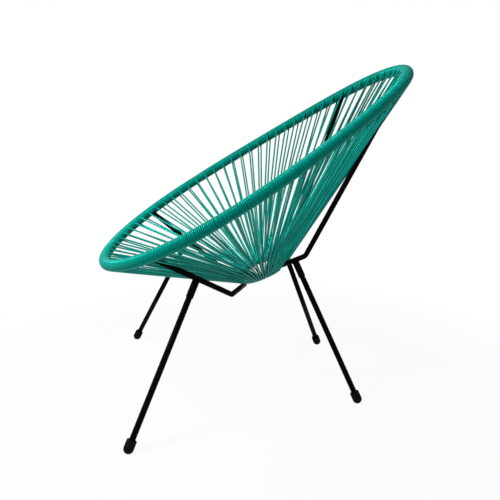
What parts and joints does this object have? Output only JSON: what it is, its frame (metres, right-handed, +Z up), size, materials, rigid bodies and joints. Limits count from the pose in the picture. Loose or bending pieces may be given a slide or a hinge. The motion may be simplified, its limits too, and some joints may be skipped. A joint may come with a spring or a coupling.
{
  "type": "acapulco chair",
  "caption": "Round bucket lounge chair: a pear-shaped hoop strung with cord to a small centre ring, on a bent-rod frame with splayed legs in sockets and soft foot caps.",
  "frame": {"origin": "centre of the footprint of the bounding box, on the floor", "axes": "+X to the sitter's left, -Y to the front of the chair, +Z up; the chair mirrors across X = 0"},
  "size_m": [0.697, 0.7705, 0.8206],
  "materials": {
    "frame": "satin black powder coat",
    "cord": "satin teal green plastic cord",
    "foot_cap": "matt black"
  },
  "bodies": {
    "root": {"seat_hoop": "frame", "centre_ring": "frame", "support_front_left": "frame", "leg_socket_front_left": "frame", "leg_front_left": "frame", "foot_cap_front_left": "foot_cap", "support_back_left": "frame", "leg_socket_back_left": "frame", "leg_back_left": "frame", "foot_cap_back_left": "foot_cap", "support_front_right": "frame", "leg_socket_front_right": "frame", "leg_front_right": "frame", "foot_cap_front_right": "foot_cap", "support_back_right": "frame", "leg_socket_back_right": "frame", "leg_back_right": "frame", "foot_cap_back_right": "foot_cap", "seat_cord_01": "cord", "seat_cord_02": "cord", "seat_cord_03": "cord", "seat_cord_04": "cord", "seat_cord_05": "cord", "seat_cord_06": "cord", "seat_cord_07": "cord", "seat_cord_08": "cord", "seat_cord_09": "cord", "seat_cord_10": "cord", "seat_cord_11": "cord", "seat_cord_12": "cord", "seat_cord_13": "cord", "seat_cord_14": "cord", "seat_cord_15": "cord", "seat_cord_16": "cord", "seat_cord_17": "cord", "seat_cord_18": "cord", "seat_cord_19": "cord", "seat_cord_20": "cord", "seat_cord_21": "cord", "seat_cord_22": "cord", "seat_cord_23": "cord", "seat_cord_24": "cord", "seat_cord_25": "cord"}
  },
  "joints": []
}
